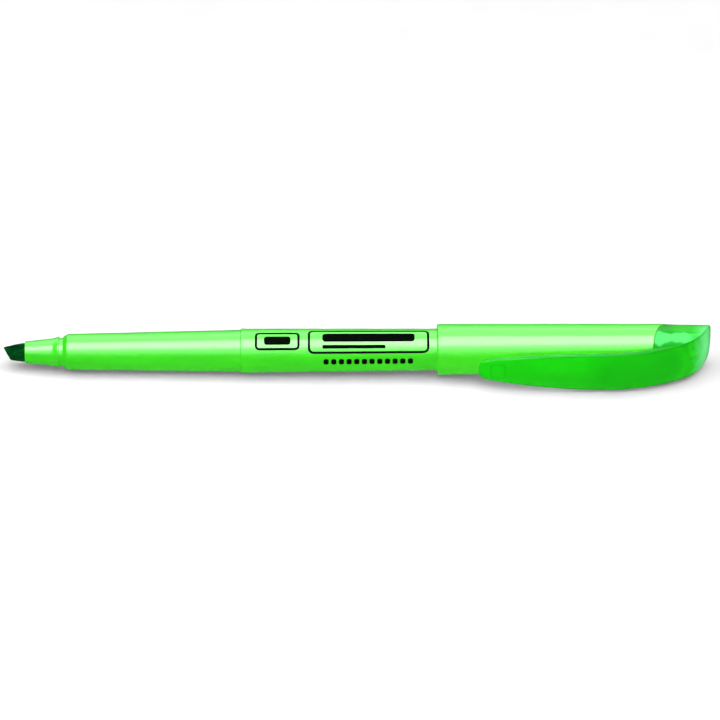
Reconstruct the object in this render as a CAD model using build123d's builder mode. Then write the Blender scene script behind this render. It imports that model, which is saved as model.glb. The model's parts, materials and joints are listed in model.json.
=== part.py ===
from build123d import *
from math import asin, atan2, cos, degrees, hypot, radians, sin, sqrt
import os

# Pocket highlighter lying on a table, with its cap posted on the tail of the barrel.
# Millimetres. +X runs from the nib to the closed end of the cap and +Z is up. The origin is on
# the table, under the middle of the pen. A station is a distance along the pen from the nib's
# tip. A height or a radius is measured from the pen's axis.

# ---------------------------------------------------------------- stations along the pen
HOLDER_MOUTH = 4.8  # where the nib comes out of its holder
FLARE_START = 10.9  # the holder starts to flare towards its sealing rim
RIM_START = 12.05
RIM_END = 12.25
BARREL_MOUTH = 13.0
SHOULDER_END = 14.2  # end of the barrel's chamfered mouth
HOLDER_END = 22.0  # inner end of the holder's plug
COLLAR = 52.3  # the step that stops the closed cap
CAP_MOUTH = 95.4
CAP_BAND_END = 103.9  # the cap's outside is straight up to here
BARREL_END = 128.7
TAIL = 129.5  # outer face of the plug that closes the barrel
CAP_SEAM = 142.5  # where the cap's tube meets its end piece, on the clip's side

# ---------------------------------------------------------------- radii
NIB_RADIUS = 2.12
HOLDER_MOUTH_RADIUS = 2.4
HOLDER_RADIUS = 3.0
RIM_RADIUS = 3.41
NECK_RADIUS = 3.12
HOLDER_PLUG_RADIUS = 2.85
MOUTH_RADIUS = 3.25
SHOULDER_RADIUS = 3.95
FRONT_RADIUS = 4.62  # the front of the barrel, where it meets the collar
COLLAR_RADIUS = 4.9
TAIL_RADIUS = 4.39
BARREL_BORE_FRONT = 3.35
BARREL_BORE_REAR = 3.65
CAP_RADIUS = 5.6
CAP_REAR_RADIUS = 5.26  # the cap's tube narrows a little, towards this at the pen's end
END_FRONT_RADIUS = 5.22  # end piece, at the seam
END_RADIUS = 5.0  # end piece, at the pen's end
CAP_BORE = 4.8
CAP_GRIP_RADIUS = 4.66  # bead inside the cap's mouth, which grips the barrel

# ---------------------------------------------------------------- fits and walls
PRESS_GAP = 0.02  # air drawn between two pressed pieces
TURN_GAP = 0.05  # air between the liner and the end piece that turns on it
PAD_GAP = 0.1  # air between the clip's pad and the cap
WALL = 1.0  # end piece
CHAMFER = 0.2  # lead-ins and hidden edges
RIB_ROOT = 0.1  # how far a rib runs into the wall that carries it
FILM = 0.1  # wrap round the ink reservoir

# ---------------------------------------------------------------- clip
CLIP_TIP = 104.4
CLIP_ROOT = 143.0  # where the blade bends
CLIP_ROOT_GAP = 0.06
CLIP_CREST = 133.0  # station of the blade's greatest height
CLIP_HEIGHT = 8.65  # height of the blade's outer face there
CLIP_THICKNESS = 1.1
CLIP_EDGE = 0.35  # rounding of the blade's edges
CLIP_HALF_WIDTH = 4.98  # from the crest to the closed end
LEAF_BOW = 155.0  # radius of the blade's long edges, seen from above
BLADE_BOW = 226.0  # radius of the blade's bow, seen from the side
BLADE_TURN = 8.0  # the bow runs on past the blade's tip
SHOULDER_BOW = 38.5  # radius of its shoulder, over the cap's seam
SHOULDER_TURN = 25.0
END_BOW = 11.1  # radius of the arc that closes the cap, as far as the side opposite the clip
TIP_CORNER = 1.7
SEAM_BOW = 15.0  # radius of the end of the cap's tube, seen from the side
SEAM_TURN = 60.0
PAD_START, PAD_END, PAD_WIDTH, PAD_CORNER = 106.9, 110.2, 3.8, 0.5
TABLE_AIR = 0.03  # the blade stays this far above the table, so that the cap carries the pen

# the pen ends where the arc that closes the cap meets the side opposite the clip
end_drop = radians(SHOULDER_TURN)
end_centre_station = CLIP_CREST + (SHOULDER_BOW - END_BOW) * sin(end_drop)
end_centre_height = CLIP_HEIGHT - SHOULDER_BOW + (SHOULDER_BOW - END_BOW) * cos(end_drop)
LENGTH = end_centre_station + sqrt(END_BOW**2 - (end_centre_height + END_RADIUS) ** 2)

# ---------------------------------------------------------------- the pen's place on the table
# The clip turns the pen until one edge of the blade nearly lies on the table.
edge_height = CLIP_HEIGHT - CLIP_EDGE
edge_width = CLIP_HALF_WIDTH - CLIP_EDGE
clip_drop = asin((CAP_RADIUS - TABLE_AIR - CLIP_EDGE) / hypot(edge_height, edge_width))
clip_drop -= atan2(edge_width, edge_height)  # how far the clip points below the level
clip_reach = edge_height * cos(clip_drop) + edge_width * sin(clip_drop) + CLIP_EDGE

AXIS_Y = (clip_reach - CAP_RADIUS) / 2  # the box is centred on the origin, clip included
NIB_TIP = Vector(-LENGTH / 2, AXIS_Y, CAP_RADIUS)
PEN_AXIS = Axis(NIB_TIP, (1, 0, 0))
CLIP_UP = Vector(0, -cos(clip_drop), -sin(clip_drop))  # away from the axis, through the clip
NIB_TURN = radians(51)  # the nib's broad face looks this far up
NIB_UP = Vector(0, -cos(NIB_TURN), sin(NIB_TURN))
WIDE = 2 * CAP_RADIUS  # more than any piece reaches from the axis


def side_of(up):
    """Plane through the pen's axis: x is the station, y the height in the direction up."""
    return Plane(NIB_TIP, x_dir=(1, 0, 0), z_dir=Vector(1, 0, 0).cross(up))


def plan_of(up):
    """Plane through the pen's axis, seen from the direction up: x is the station."""
    return Plane(NIB_TIP, x_dir=(1, 0, 0), z_dir=up)


def section(station):
    """Plane across the pen at a station: x points to the clip."""
    return Plane(NIB_TIP + Vector(station, 0, 0), x_dir=CLIP_UP, z_dir=(1, 0, 0))


def face_of(plane, *points):
    """A face with straight edges."""
    with BuildSketch(plane) as face:
        with BuildLine():
            Polyline(*points, close=True)
        make_face()
    return face.sketch


def half_outline(*points):
    """Half of a piece's lengthwise section, as stations and radii."""
    return face_of(side_of(CLIP_UP), *points)


def end_piece_radius(station):
    """Outside of the cap's end piece, which narrows evenly to the closed end."""
    share = (station - CAP_SEAM) / (LENGTH - CAP_SEAM)
    return END_FRONT_RADIUS + share * (END_RADIUS - END_FRONT_RADIUS)


# ---------------------------------------------------------------- nib
NIB_END = 31.0
NIB_POINT = 29.0  # the hidden end tapers from here
NIB_POINT_RADIUS = 1.5
NIB_LAND = 0.75  # half the thickness of the chisel's edge
NIB_FACET_END = 5.6
NIB_HEEL = 1.8  # how far the slanted edge runs back
NIB_TIP_TOP, NIB_TIP_BOTTOM = 1.1, -1.65
NIB_ROUNDING = 0.2

with BuildPart() as nib:
    revolve(
        half_outline(
            (0, 0),
            (0, NIB_RADIUS),
            (NIB_POINT, NIB_RADIUS),
            (NIB_END, NIB_POINT_RADIUS),
            (NIB_END, 0),
        ),
        axis=PEN_AXIS,
    )
    # the broad face, with its slanted edge
    with BuildSketch(plan_of(NIB_UP)):
        with BuildLine():
            Polyline(
                (0, NIB_TIP_TOP),
                (NIB_FACET_END, NIB_RADIUS),
                (NIB_END, NIB_RADIUS),
                (NIB_END, -NIB_RADIUS),
                (NIB_FACET_END, -NIB_RADIUS),
                (NIB_HEEL, NIB_TIP_BOTTOM),
                close=True,
            )
        make_face()
    extrude(amount=NIB_RADIUS, both=True, mode=Mode.INTERSECT)
    # the wedge, seen along its edge
    with BuildSketch(side_of(NIB_UP)):
        with BuildLine():
            Polyline(
                (0, NIB_LAND),
                (NIB_FACET_END, NIB_RADIUS),
                (NIB_END, NIB_RADIUS),
                (NIB_END, -NIB_RADIUS),
                (NIB_FACET_END, -NIB_RADIUS),
                (0, -NIB_LAND),
                close=True,
            )
        make_face()
    extrude(amount=NIB_RADIUS, both=True, mode=Mode.INTERSECT)
    front_face = nib.faces().sort_by(Axis.X)[0]
    fillet(front_face.edges(), NIB_ROUNDING)
nib.part.label = "nib"

# ---------------------------------------------------------------- nib holder
SNAP_START, SNAP_END = 18.0, 19.0  # ring that snaps into the barrel's mouth
SNAP_HEIGHT = 0.1
VENTS, VENT_WIDTH, VENT_DEPTH = 3, 0.9, 0.3
FLARE_BULGE = 0.12
LIP = 0.08

with BuildPart() as nib_holder:
    with BuildSketch(side_of(CLIP_UP)):
        with BuildLine():
            flare = ThreePointArc(
                (FLARE_START, HOLDER_RADIUS),
                ((FLARE_START + RIM_START) / 2, HOLDER_RADIUS + FLARE_BULGE),
                (RIM_START, RIM_RADIUS),
            )
            Polyline(
                flare @ 1,
                (RIM_END, RIM_RADIUS),
                (RIM_END, NECK_RADIUS),
                (BARREL_MOUTH, NECK_RADIUS),
                (BARREL_MOUTH, HOLDER_PLUG_RADIUS),
                (SNAP_START, HOLDER_PLUG_RADIUS),
                (SNAP_START + SNAP_HEIGHT, HOLDER_PLUG_RADIUS + SNAP_HEIGHT),
                (SNAP_END, HOLDER_PLUG_RADIUS + SNAP_HEIGHT),
                (SNAP_END + SNAP_HEIGHT, HOLDER_PLUG_RADIUS),
                (HOLDER_END, HOLDER_PLUG_RADIUS),
                (HOLDER_END, NIB_RADIUS + PRESS_GAP),
                (HOLDER_MOUTH, NIB_RADIUS + PRESS_GAP),
                (HOLDER_MOUTH, HOLDER_MOUTH_RADIUS - LIP),
                (HOLDER_MOUTH + LIP, HOLDER_MOUTH_RADIUS),
                flare @ 0,
            )
        make_face()
    revolve(axis=PEN_AXIS)
    # grooves along the plug let air into the barrel
    with BuildSketch(section(BARREL_MOUTH)):
        with PolarLocations(HOLDER_PLUG_RADIUS, VENTS):
            Rectangle(2 * VENT_DEPTH, VENT_WIDTH)
    extrude(amount=HOLDER_END - BARREL_MOUTH, mode=Mode.SUBTRACT)
nib_holder.part.label = "nib_holder"

# ---------------------------------------------------------------- barrel
RIBS, RIB_WIDTH = 6, 0.8
RIB_RADIUS = 3.08  # the ribs hold the reservoir by its film
RIB_START, RIB_END = 26.0, 118.0
PLUG_SEAT = 122.0  # the end plug's seat is straight from here
SEAT_END = HOLDER_END + 1
STEP_RUN = 0.15
seat_radius = HOLDER_PLUG_RADIUS + PRESS_GAP
groove_start, groove_end = SNAP_START - SNAP_HEIGHT, SNAP_END + 2 * SNAP_HEIGHT

with BuildPart() as barrel:
    revolve(
        half_outline(
            (BARREL_MOUTH, seat_radius),
            (BARREL_MOUTH, MOUTH_RADIUS),
            (SHOULDER_END, SHOULDER_RADIUS),
            (COLLAR - STEP_RUN, FRONT_RADIUS),
            (COLLAR, COLLAR_RADIUS - STEP_RUN),
            (COLLAR + STEP_RUN, COLLAR_RADIUS),
            (BARREL_END, TAIL_RADIUS),
            (BARREL_END, BARREL_BORE_REAR),
            (PLUG_SEAT, BARREL_BORE_REAR),
            (SEAT_END, BARREL_BORE_FRONT),
            (SEAT_END, seat_radius),
            (groove_end, seat_radius),
            (groove_end, seat_radius + SNAP_HEIGHT),
            (groove_start, seat_radius + SNAP_HEIGHT),
            (groove_start, seat_radius),
        ),
        axis=PEN_AXIS,
    )
    rib_depth = BARREL_BORE_REAR + RIB_ROOT - RIB_RADIUS
    with BuildSketch(section(RIB_START)):
        with PolarLocations(RIB_RADIUS + rib_depth / 2, RIBS):
            Rectangle(rib_depth, RIB_WIDTH)
    extrude(amount=RIB_END - RIB_START)
barrel.part.label = "barrel"

# ---------------------------------------------------------------- ink reservoir and its film
RESERVOIR_START, RESERVOIR_END = 24.0, 120.5
FILM_RADIUS = RIB_RADIUS - PRESS_GAP
FIBRE_RADIUS = FILM_RADIUS - FILM
SOCKET_FLOOR = NIB_END + 0.5  # bottom of the hollow that the nib's end makes in the fibre

with BuildPart() as ink_reservoir:
    revolve(
        half_outline(
            (RESERVOIR_START, NIB_RADIUS + PRESS_GAP),
            (RESERVOIR_START, FIBRE_RADIUS),
            (RESERVOIR_END, FIBRE_RADIUS),
            (RESERVOIR_END, 0),
            (SOCKET_FLOOR, 0),
            (SOCKET_FLOOR, NIB_POINT_RADIUS + PRESS_GAP),
            (NIB_END, NIB_POINT_RADIUS + PRESS_GAP),
            (NIB_POINT, NIB_RADIUS + PRESS_GAP),
        ),
        axis=PEN_AXIS,
    )
ink_reservoir.part.label = "ink_reservoir"

with BuildPart() as reservoir_film:
    revolve(
        half_outline(
            (RESERVOIR_START, FIBRE_RADIUS),
            (RESERVOIR_START, FILM_RADIUS),
            (RESERVOIR_END, FILM_RADIUS),
            (RESERVOIR_END, FIBRE_RADIUS),
        ),
        axis=PEN_AXIS,
    )
reservoir_film.part.label = "reservoir_film"

# ---------------------------------------------------------------- plug that closes the barrel
PLUG_WALL = 0.8
PLUG_SHIFT = 0.5  # the plug stops short of the end of its seat
FLANGE_ROUNDING = 0.3
FLANGE_STEP = 0.06
plug_radius = BARREL_BORE_REAR - PRESS_GAP
flange_radius = TAIL_RADIUS - FLANGE_STEP

with BuildPart() as barrel_end_plug:
    revolve(
        half_outline(
            (PLUG_SEAT + PLUG_SHIFT, plug_radius - PLUG_WALL),
            (PLUG_SEAT + PLUG_SHIFT, plug_radius - CHAMFER),
            (PLUG_SEAT + PLUG_SHIFT + CHAMFER, plug_radius),
            (BARREL_END, plug_radius),
            (BARREL_END, flange_radius),
            (TAIL - FLANGE_ROUNDING, flange_radius),
            (TAIL, flange_radius - FLANGE_ROUNDING),
            (TAIL, 0),
            (TAIL - PLUG_WALL, 0),
            (TAIL - PLUG_WALL, plug_radius - PLUG_WALL),
        ),
        axis=PEN_AXIS,
    )
barrel_end_plug.part.label = "barrel_end_plug"

# ---------------------------------------------------------------- liner that seals the nib
# It is as deep in the cap as the sealing rim is from the collar, so that the rim enters it.
LINER_RADIUS = 4.1
LINER_BORE = 3.45
LINER_FLOOR_RADIUS = 2.7
LINER_FLOOR = 0.55
LINER_CLOSED_STATION = BARREL_MOUTH - 0.1  # where the liner's mouth is when the cap is on
NIB_AIR = 0.9  # between the nib's tip and the floor of the liner, with the cap on

liner_mouth = CAP_MOUTH + COLLAR - LINER_CLOSED_STATION
liner_floor = CAP_MOUTH + COLLAR + NIB_AIR
liner_taper = LINER_BORE - LINER_FLOOR_RADIUS

with BuildPart() as cap_liner:
    revolve(
        half_outline(
            (liner_mouth, LINER_BORE + CHAMFER),
            (liner_mouth, LINER_RADIUS),
            (liner_floor - liner_taper, LINER_RADIUS),
            (liner_floor + LINER_FLOOR, LINER_RADIUS - liner_taper),
            (liner_floor + LINER_FLOOR, 0),
            (liner_floor, 0),
            (liner_floor, LINER_FLOOR_RADIUS),
            (liner_floor - liner_taper, LINER_BORE),
            (liner_mouth + CHAMFER, LINER_BORE),
        ),
        axis=PEN_AXIS,
    )
cap_liner.part.label = "cap_liner"


# ---------------------------------------------------------------- shapes that the cap's pieces share
def below_clip(inset=0.0):
    """Everything on the axis's side of the clip's curve, seen from the side."""
    with BuildSketch(side_of(CLIP_UP)) as face:
        with BuildLine():
            top = (CLIP_CREST, CLIP_HEIGHT - inset)
            blade = JernArc(top, (-1, 0), BLADE_BOW - inset, BLADE_TURN)
            shoulder = JernArc(top, (1, 0), SHOULDER_BOW - inset, -SHOULDER_TURN)
            end = JernArc(shoulder @ 1, shoulder % 1, END_BOW - inset, SHOULDER_TURN - 90)
            Polyline(blade @ 1, ((blade @ 1).X, (end @ 1).Y), end @ 1)
        make_face()
    return face.sketch




def behind_seam(gap=0.0):
    """Everything behind the seam between the cap's tube and its end piece, from the side."""
    with BuildSketch(side_of(CLIP_UP)) as face:
        with BuildLine():
            arc = CenterArc((CAP_SEAM + SEAM_BOW, CAP_RADIUS), SEAM_BOW - gap, 180, SEAM_TURN)
            back = LENGTH + WIDE
            Polyline(arc @ 1, (back, (arc @ 1).Y), (back, WIDE), (CAP_SEAM + gap, WIDE), arc @ 0)
        make_face()
    return face.sketch


def leaf():
    """The clip's outline, seen from outside."""
    with BuildSketch(plan_of(CLIP_UP)) as face:
        with BuildLine():
            turn = degrees(asin((CLIP_CREST - CLIP_TIP) / LEAF_BOW))
            edge = JernArc((CLIP_CREST, CLIP_HALF_WIDTH), (-1, 0), LEAF_BOW, turn)
            Line(edge @ 1, (CLIP_TIP, 0))
            Polyline(edge @ 0, (LENGTH, CLIP_HALF_WIDTH), (LENGTH, 0))
            mirror(about=Plane.XZ)
        make_face()
        fillet(face.vertices().group_by(Axis.X)[0], TIP_CORNER)
    return face.sketch


def slab(start, end):
    """Everything between two stations, seen from the side."""
    return face_of(side_of(CLIP_UP), (start, -WIDE), (start, WIDE), (end, WIDE), (end, -WIDE))


# ---------------------------------------------------------------- cap tube
MOUTH_ROUNDING = 0.3
LEAD_IN = 0.25
GRIP_START, GRIP_END = CAP_MOUTH + 0.5, CAP_MOUTH + 1.6

with BuildPart() as cap_tube:
    revolve(
        half_outline(
            (CAP_MOUTH, CAP_BORE + LEAD_IN),
            (CAP_MOUTH, CAP_RADIUS),
            (CAP_BAND_END, CAP_RADIUS),
            (LENGTH, CAP_REAR_RADIUS),
            (LENGTH, CAP_BORE),
            (GRIP_END + CHAMFER, CAP_BORE),
            (GRIP_END, CAP_GRIP_RADIUS),
            (GRIP_START, CAP_GRIP_RADIUS),
        ),
        axis=PEN_AXIS,
    )
    mouth_face = cap_tube.faces().sort_by(Axis.X)[0]
    fillet(mouth_face.edges().sort_by(SortBy.RADIUS)[-1], MOUTH_ROUNDING)
    extrude(behind_seam(), amount=WIDE, both=True, mode=Mode.SUBTRACT)
cap_tube.part.label = "cap_tube"

# ---------------------------------------------------------------- cap end piece
SPIGOT_START = 139.5
SPIGOT_END = 149.0  # the spigot is one with the end piece's wall up to here
NUB_STATION, NUB_TURN, NUB_RADIUS, NUB_HEIGHT = 147.6, -130.0, 0.5, 0.2

with BuildPart() as hollow:
    with BuildSketch(section(SPIGOT_START)):
        Circle(LINER_RADIUS + TURN_GAP)
    extrude(amount=LENGTH - SPIGOT_START)
    extrude(below_clip(WALL), amount=WIDE, both=True, mode=Mode.INTERSECT)

with BuildPart() as cap_end_piece:
    # the root of the clip, joined with the round end, all closed by the clip's curve
    extrude(leaf(), amount=WIDE)
    extrude(slab(CLIP_TIP, CLIP_ROOT), amount=WIDE, both=True, mode=Mode.SUBTRACT)
    revolve(
        half_outline(
            (CAP_SEAM, 0),
            (CAP_SEAM, END_FRONT_RADIUS),
            (LENGTH, END_RADIUS),
            (LENGTH, 0),
        ),
        axis=PEN_AXIS,
    )
    extrude(below_clip(), amount=WIDE, both=True, mode=Mode.INTERSECT)
    extrude(behind_seam(PRESS_GAP), amount=WIDE, both=True, mode=Mode.INTERSECT)
    # a spigot plugs the tube
    revolve(
        half_outline(
            (SPIGOT_START, 0),
            (SPIGOT_START, CAP_BORE - PRESS_GAP - CHAMFER),
            (SPIGOT_START + CHAMFER, CAP_BORE - PRESS_GAP),
            (SPIGOT_END, CAP_BORE - PRESS_GAP),
            (SPIGOT_END, 0),
        ),
        axis=PEN_AXIS,
    )
    add(hollow.part, mode=Mode.SUBTRACT)
    # a small nub on the side
    nub_up = CLIP_UP.rotate(Axis.X, NUB_TURN)
    nub_foot = NIB_TIP + Vector(NUB_STATION, 0, 0) + nub_up * (END_RADIUS - NUB_HEIGHT)
    with BuildSketch(Plane(nub_foot, x_dir=(1, 0, 0), z_dir=nub_up)):
        Circle(NUB_RADIUS)
    extrude(amount=end_piece_radius(NUB_STATION) - END_RADIUS + 2 * NUB_HEIGHT)
cap_end_piece.part.label = "cap_end_piece"

# ---------------------------------------------------------------- clip blade
with BuildPart() as clip_blade:
    extrude(leaf(), amount=WIDE)
    extrude(below_clip(), amount=WIDE, both=True, mode=Mode.INTERSECT)
    extrude(below_clip(CLIP_THICKNESS), amount=WIDE, both=True, mode=Mode.SUBTRACT)
    fillet(clip_blade.edges().filter_by(GeomType.LINE, reverse=True), CLIP_EDGE)
    root_cut = slab(CLIP_ROOT - CLIP_ROOT_GAP, LENGTH + 1)
    extrude(root_cut, amount=WIDE, both=True, mode=Mode.SUBTRACT)
    # the pad that presses on whatever the clip holds
    pad_height = CAP_RADIUS + PAD_GAP
    with BuildSketch(plan_of(CLIP_UP).offset(pad_height)):
        with Locations(((PAD_START + PAD_END) / 2, 0)):
            RectangleRounded(PAD_END - PAD_START, PAD_WIDTH, PAD_CORNER)
    extrude(amount=CLIP_THICKNESS)
clip_blade.part.label = "clip_blade"

os.makedirs("parts", exist_ok=True)
export_step(nib.part, "parts/nib.step")
export_step(nib_holder.part, "parts/nib_holder.step")
export_step(barrel.part, "parts/barrel.step")
export_step(ink_reservoir.part, "parts/ink_reservoir.step")
export_step(reservoir_film.part, "parts/reservoir_film.step")
export_step(barrel_end_plug.part, "parts/barrel_end_plug.step")
export_step(cap_tube.part, "parts/cap_tube.step")
export_step(cap_liner.part, "parts/cap_liner.step")
export_step(cap_end_piece.part, "parts/cap_end_piece.step")
export_step(clip_blade.part, "parts/clip_blade.step")
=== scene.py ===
"""Looks of a capped highlighter that lies on a pale table with its cap posted on its tail.

Sizes are in millimetres along the pen: a station is a distance from the nib's tip, a height is
measured from the pen's axis towards the clip, and a side is measured across the clip.
"""

import json
from math import acos, asin, atan2, ceil, cos, hypot, pi, radians, sin, sqrt, tan

import bmesh
import bpy
import numpy as np
from mathutils import Matrix, Vector
from mathutils import noise as mathutils_noise

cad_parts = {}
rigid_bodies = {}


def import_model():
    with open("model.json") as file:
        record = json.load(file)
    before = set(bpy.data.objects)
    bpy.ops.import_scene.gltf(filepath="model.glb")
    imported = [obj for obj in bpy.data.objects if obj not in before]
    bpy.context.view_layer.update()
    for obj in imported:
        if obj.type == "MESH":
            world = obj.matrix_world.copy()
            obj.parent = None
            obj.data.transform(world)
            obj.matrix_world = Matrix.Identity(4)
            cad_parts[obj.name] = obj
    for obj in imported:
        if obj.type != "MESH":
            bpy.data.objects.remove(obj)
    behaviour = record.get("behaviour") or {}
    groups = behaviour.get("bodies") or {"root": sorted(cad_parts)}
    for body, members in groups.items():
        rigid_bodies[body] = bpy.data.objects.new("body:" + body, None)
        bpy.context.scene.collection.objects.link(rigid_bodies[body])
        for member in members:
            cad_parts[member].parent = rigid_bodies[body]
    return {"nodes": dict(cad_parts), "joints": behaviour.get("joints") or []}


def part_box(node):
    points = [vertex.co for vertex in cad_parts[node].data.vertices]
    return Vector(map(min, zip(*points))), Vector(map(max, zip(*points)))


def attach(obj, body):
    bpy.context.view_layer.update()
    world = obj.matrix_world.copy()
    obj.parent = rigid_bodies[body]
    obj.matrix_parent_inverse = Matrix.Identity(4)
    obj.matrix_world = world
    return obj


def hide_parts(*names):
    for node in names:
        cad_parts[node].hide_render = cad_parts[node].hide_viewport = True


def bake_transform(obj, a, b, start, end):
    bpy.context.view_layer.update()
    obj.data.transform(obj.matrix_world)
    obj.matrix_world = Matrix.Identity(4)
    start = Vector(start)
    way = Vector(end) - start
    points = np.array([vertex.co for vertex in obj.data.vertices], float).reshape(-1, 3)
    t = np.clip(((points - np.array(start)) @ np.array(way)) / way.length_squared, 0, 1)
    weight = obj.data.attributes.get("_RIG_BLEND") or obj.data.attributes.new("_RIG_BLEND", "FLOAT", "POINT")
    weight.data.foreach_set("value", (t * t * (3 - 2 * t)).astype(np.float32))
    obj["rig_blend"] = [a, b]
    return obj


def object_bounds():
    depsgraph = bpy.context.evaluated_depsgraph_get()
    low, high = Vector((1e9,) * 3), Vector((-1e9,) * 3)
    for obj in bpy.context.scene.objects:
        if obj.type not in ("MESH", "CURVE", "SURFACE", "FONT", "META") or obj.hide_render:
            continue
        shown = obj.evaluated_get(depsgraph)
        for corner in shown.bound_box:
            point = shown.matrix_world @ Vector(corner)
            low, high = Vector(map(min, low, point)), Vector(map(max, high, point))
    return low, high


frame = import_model()
cad_low, cad_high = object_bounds()

MM = 0.001

# -------------------- the pen's sizes
# nib holder and barrel: stations, then radii
HOLDER_MOUTH, FLARE_START, RIM_START, RIM_END = 4.8, 10.9, 12.05, 12.25
BARREL_MOUTH, SHOULDER_END, HOLDER_END, SEAT_END = 13.2, 14.15, 22.0, 23.0
COLLAR, BEAD_END, PLUG_SEAT, BARREL_END = 52.3, 53.2, 122.0, 128.7
NIB_RADIUS, HOLDER_MOUTH_RADIUS, HOLDER_RADIUS = 2.15, 2.38, 3.0
RIM_RADIUS, NECK_RADIUS, PLUG_RADIUS = 3.41, 3.12, 2.85
MOUTH_RADIUS, SHOULDER_RADIUS, FRONT_RADIUS = 3.35, 3.95, 4.62
COLLAR_RADIUS, TAIL_RADIUS, BORE_FRONT, BORE_REAR = 4.9, 4.39, 3.35, 3.65
BEAD_STEP = 0.035  # the collar stands this far above the barrel behind it
# cap: tube, end piece and liner
CAP_MOUTH, CAP_BAND_END, SPIGOT_START, CAP_SEAM = 95.4, 103.9, 139.5, 142.5
SEAM_BOW = 15.0  # radius of the seam's curve, seen from the side
CAP_RADIUS, CAP_REAR_RADIUS, CAP_BORE, CAP_GRIP_RADIUS = 5.6, 5.26, 4.8, 4.66
END_FRONT_RADIUS, END_RADIUS, WALL = 5.22, 5.0, 1.0
LINER_MOUTH, LINER_FLOOR = 134.8, 148.6
LINER_RADIUS, LINER_BORE, LINER_FLOOR_RADIUS = 4.1, 3.45, 2.7
# clip: the crest is its highest point, and each bow is the radius of one of its curves
CLIP_TIP, CLIP_CREST, CLIP_HEIGHT = 104.4, 133.0, 8.65
CLIP_THICKNESS, CLIP_HALF_WIDTH = 1.1, 4.98
BLADE_BOW, SHOULDER_BOW, END_BOW = 226.0, 38.5, 11.1
LEAF_BOW, TIP_CORNER = 155.0, 1.7  # of the blade's sides and of its tip, seen from above
SHOULDER_TURN = radians(25.0)  # slope at which the shoulder's curve meets the end's
PAD_START, PAD_END, PAD_WIDTH, PAD_GAP = 106.9, 110.2, 3.8, 0.1
PRESS_GAP = 0.02  # between pieces that are pressed together

# -------------------- the pen's frame
barrel_low, barrel_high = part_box("barrel")
STATION_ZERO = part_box("cap_tube")[0].x - CAP_MOUTH * MM
AXIS_Y = (barrel_low.y + barrel_high.y) / 2
AXIS_Z = (barrel_low.z + barrel_high.z) / 2
ALONG = Vector((1, 0, 0))
ACROSS = next(Vector(j["axis"]) for j in frame["joints"] if j["name"] == "clip_flex")
CLIP_UP = ALONG.cross(ACROSS)
ORIGIN = Vector((STATION_ZERO, AXIS_Y, AXIS_Z))  # where the nib's tip meets the axis
PEN_LENGTH = (cad_high.x - STATION_ZERO) / MM


def place(points):
    """World coordinates of an array of (station, height, side) rows."""
    p = np.asarray(points, float) * MM
    out = np.array([STATION_ZERO, AXIS_Y, AXIS_Z]) + p[..., 0:1] * np.array(ALONG)
    return out + p[..., 1:2] * np.array(CLIP_UP) + p[..., 2:3] * np.array(ACROSS)


# -------------------- mesh building
TURN_STEPS = 192  # points round a turned piece
ARC_STEPS = 6  # steps round a rounded corner
SHARP_ANGLE = radians(35)
WELD_DISTANCE = 1e-7
AXIS_RADIUS = 0.01  # closes a turned piece at its axis
PLACE_ATTRIBUTE, EDGE_ATTRIBUTE = "rest_place", "edge"


def make_object(name, vertices, faces, material=None):
    """A smooth-shaded mesh object with crisp edges where faces meet at an angle."""
    mesh = bpy.data.meshes.new(name)
    mesh.from_pydata([tuple(v) for v in vertices], [], faces)
    mesh.validate()
    obj = bpy.data.objects.new(name, mesh)
    bpy.context.scene.collection.objects.link(obj)
    finish_mesh(obj)
    if material:
        mesh.materials.append(material)
    return obj


def finish_mesh(obj):
    """Faces outwards, smooth shading and sharp edges by angle."""
    bm = bmesh.new()
    bm.from_mesh(obj.data)
    bmesh.ops.remove_doubles(bm, verts=bm.verts, dist=WELD_DISTANCE)
    bmesh.ops.recalc_face_normals(bm, faces=bm.faces)
    bm.to_mesh(obj.data)
    bm.free()
    obj.data.shade_smooth()
    obj.data.set_sharp_from_angle(angle=SHARP_ANGLE)


def grid_faces(rows, columns, close_rows=False, close_columns=True):
    """Quads between the points of a grid, which are numbered row by row."""
    faces = []
    for i in range(rows if close_rows else rows - 1):
        for j in range(columns if close_columns else columns - 1):
            k, m = (i + 1) % rows, (j + 1) % columns
            here, next_row = i * columns, k * columns
            faces.append([here + j, here + m, next_row + m, next_row + j])
    return faces


def capped_faces(rows, columns):
    """Faces of a closed tube, whose rings are the rows of a grid: its quads and its two ends."""
    last = (rows - 1) * columns
    first_end = list(range(columns))[::-1]
    last_end = list(range(last, last + columns))
    return [*grid_faces(rows, columns), first_end, last_end]


def rounded(outline):
    """Points of a closed outline of (x, y, rounding radius), with each rounded corner as an arc.

    An arc takes up less than half of each of its two sides. A corner without a radius is sharp.
    """
    points = []
    count = len(outline)
    for i, corner in enumerate(outline):
        here = np.array(corner[:2], float)
        radius = corner[2] if len(corner) > 2 else 0
        if not radius:
            points.append(here)
            continue
        to_last = np.array(outline[i - 1][:2], float) - here
        to_next = np.array(outline[(i + 1) % count][:2], float) - here
        last_side, next_side = np.linalg.norm(to_last), np.linalg.norm(to_next)
        a, b = to_last / last_side, to_next / next_side
        half = acos(np.clip(a @ b, -1, 1)) / 2
        reach = min(radius / tan(half), 0.49 * min(last_side, next_side))
        centre = here + (a + b) / np.linalg.norm(a + b) * hypot(reach, reach * tan(half))
        first, last = here + a * reach - centre, here + b * reach - centre
        sweep = acos(np.clip(first @ last / (first @ first), -1, 1))
        for k in range(ARC_STEPS + 1):
            t = k / ARC_STEPS
            spoke = (sin((1 - t) * sweep) * first + sin(t * sweep) * last) / sin(sweep)
            points.append(centre + spoke)
    return points


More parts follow.
